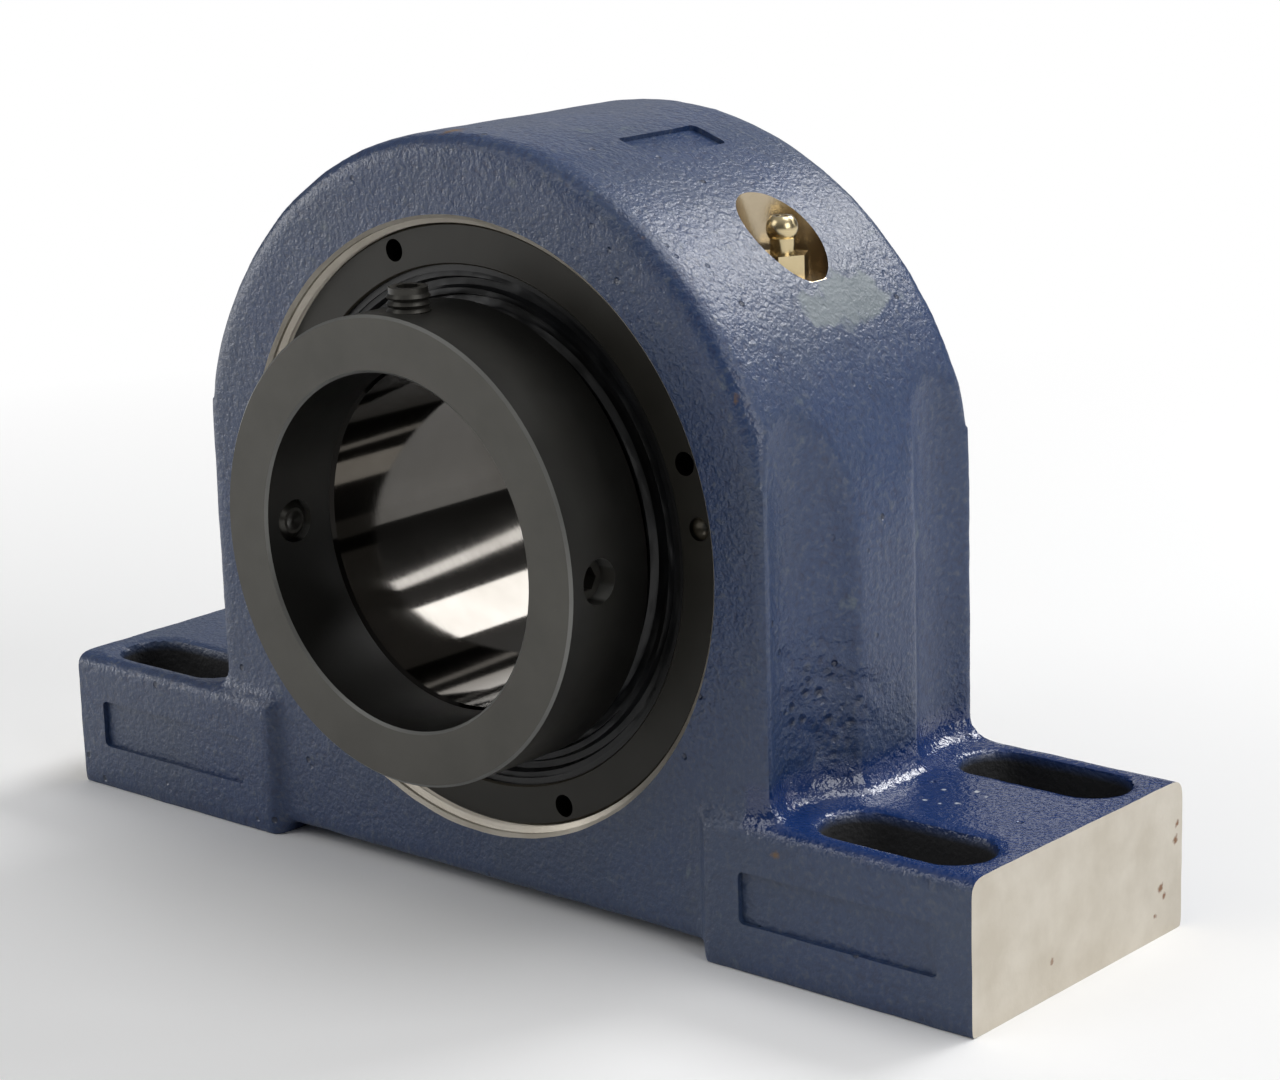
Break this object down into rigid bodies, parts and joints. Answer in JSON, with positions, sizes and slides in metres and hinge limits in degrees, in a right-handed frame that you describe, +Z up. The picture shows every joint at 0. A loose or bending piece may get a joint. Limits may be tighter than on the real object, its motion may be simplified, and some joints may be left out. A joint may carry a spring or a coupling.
{
  "type": "pillow block bearing",
  "caption": "Cast pillow block with slotted feet holding a sealed self-aligning roller bearing, a threaded cover, a locking collar with set screws and a grease fitting.",
  "frame": {"origin": "middle of the four slots, on the mounting plane under the shaft axis", "axes": "+X along the base, +Y along the shaft away from the collar, +Z up"},
  "size_m": [0.2666, 0.101, 0.1682],
  "materials": {
    "housing_paint": "gloss paint on rough casting",
    "black_steel": "black oxide",
    "bearing_steel": "ground and polished",
    "cage_metal": "machined",
    "case_steel": "pressed",
    "seal_rubber": "greased",
    "fitting_brass": "bright"
  },
  "bodies": {
    "base": {"housing": "housing_paint", "threaded_cover": "black_steel", "outer_ring": "bearing_steel", "front_seal_case": "case_steel", "front_seal": "seal_rubber", "rear_seal_case": "case_steel", "rear_seal": "seal_rubber", "grease_fitting": "fitting_brass", "grease_ball": "bearing_steel"},
    "aligner": {"guide_ring": "bearing_steel"},
    "shaft_ring": {"inner_ring": "bearing_steel", "locking_collar": "black_steel", "set_screw_right": "black_steel", "set_screw_top": "black_steel", "set_screw_left": "black_steel"},
    "roller_set": {"front_rollers": "bearing_steel", "rear_rollers": "bearing_steel", "front_cage": "cage_metal", "rear_cage": "cage_metal"}
  },
  "joints": [
    {"name": "align_tilt", "type": "hinge", "parent": "base", "child": "aligner", "pos_m": [0, 0.003, 0.08255], "axis": [1, 0, 0], "range_deg": [-1, 1]},
    {"name": "shaft_spin", "type": "hinge", "parent": "aligner", "child": "shaft_ring", "pos_m": [0, 0.003, 0.08255], "axis": [0, 1, 0], "continuous": true},
    {"name": "cage_spin", "type": "hinge", "parent": "aligner", "child": "roller_set", "pos_m": [0, 0.003, 0.08255], "axis": [0, 1, 0], "continuous": true}
  ],
  "couplings": [
    {"joint": "cage_spin", "follows": "shaft_spin", "ratio": 0.44}
  ]
}
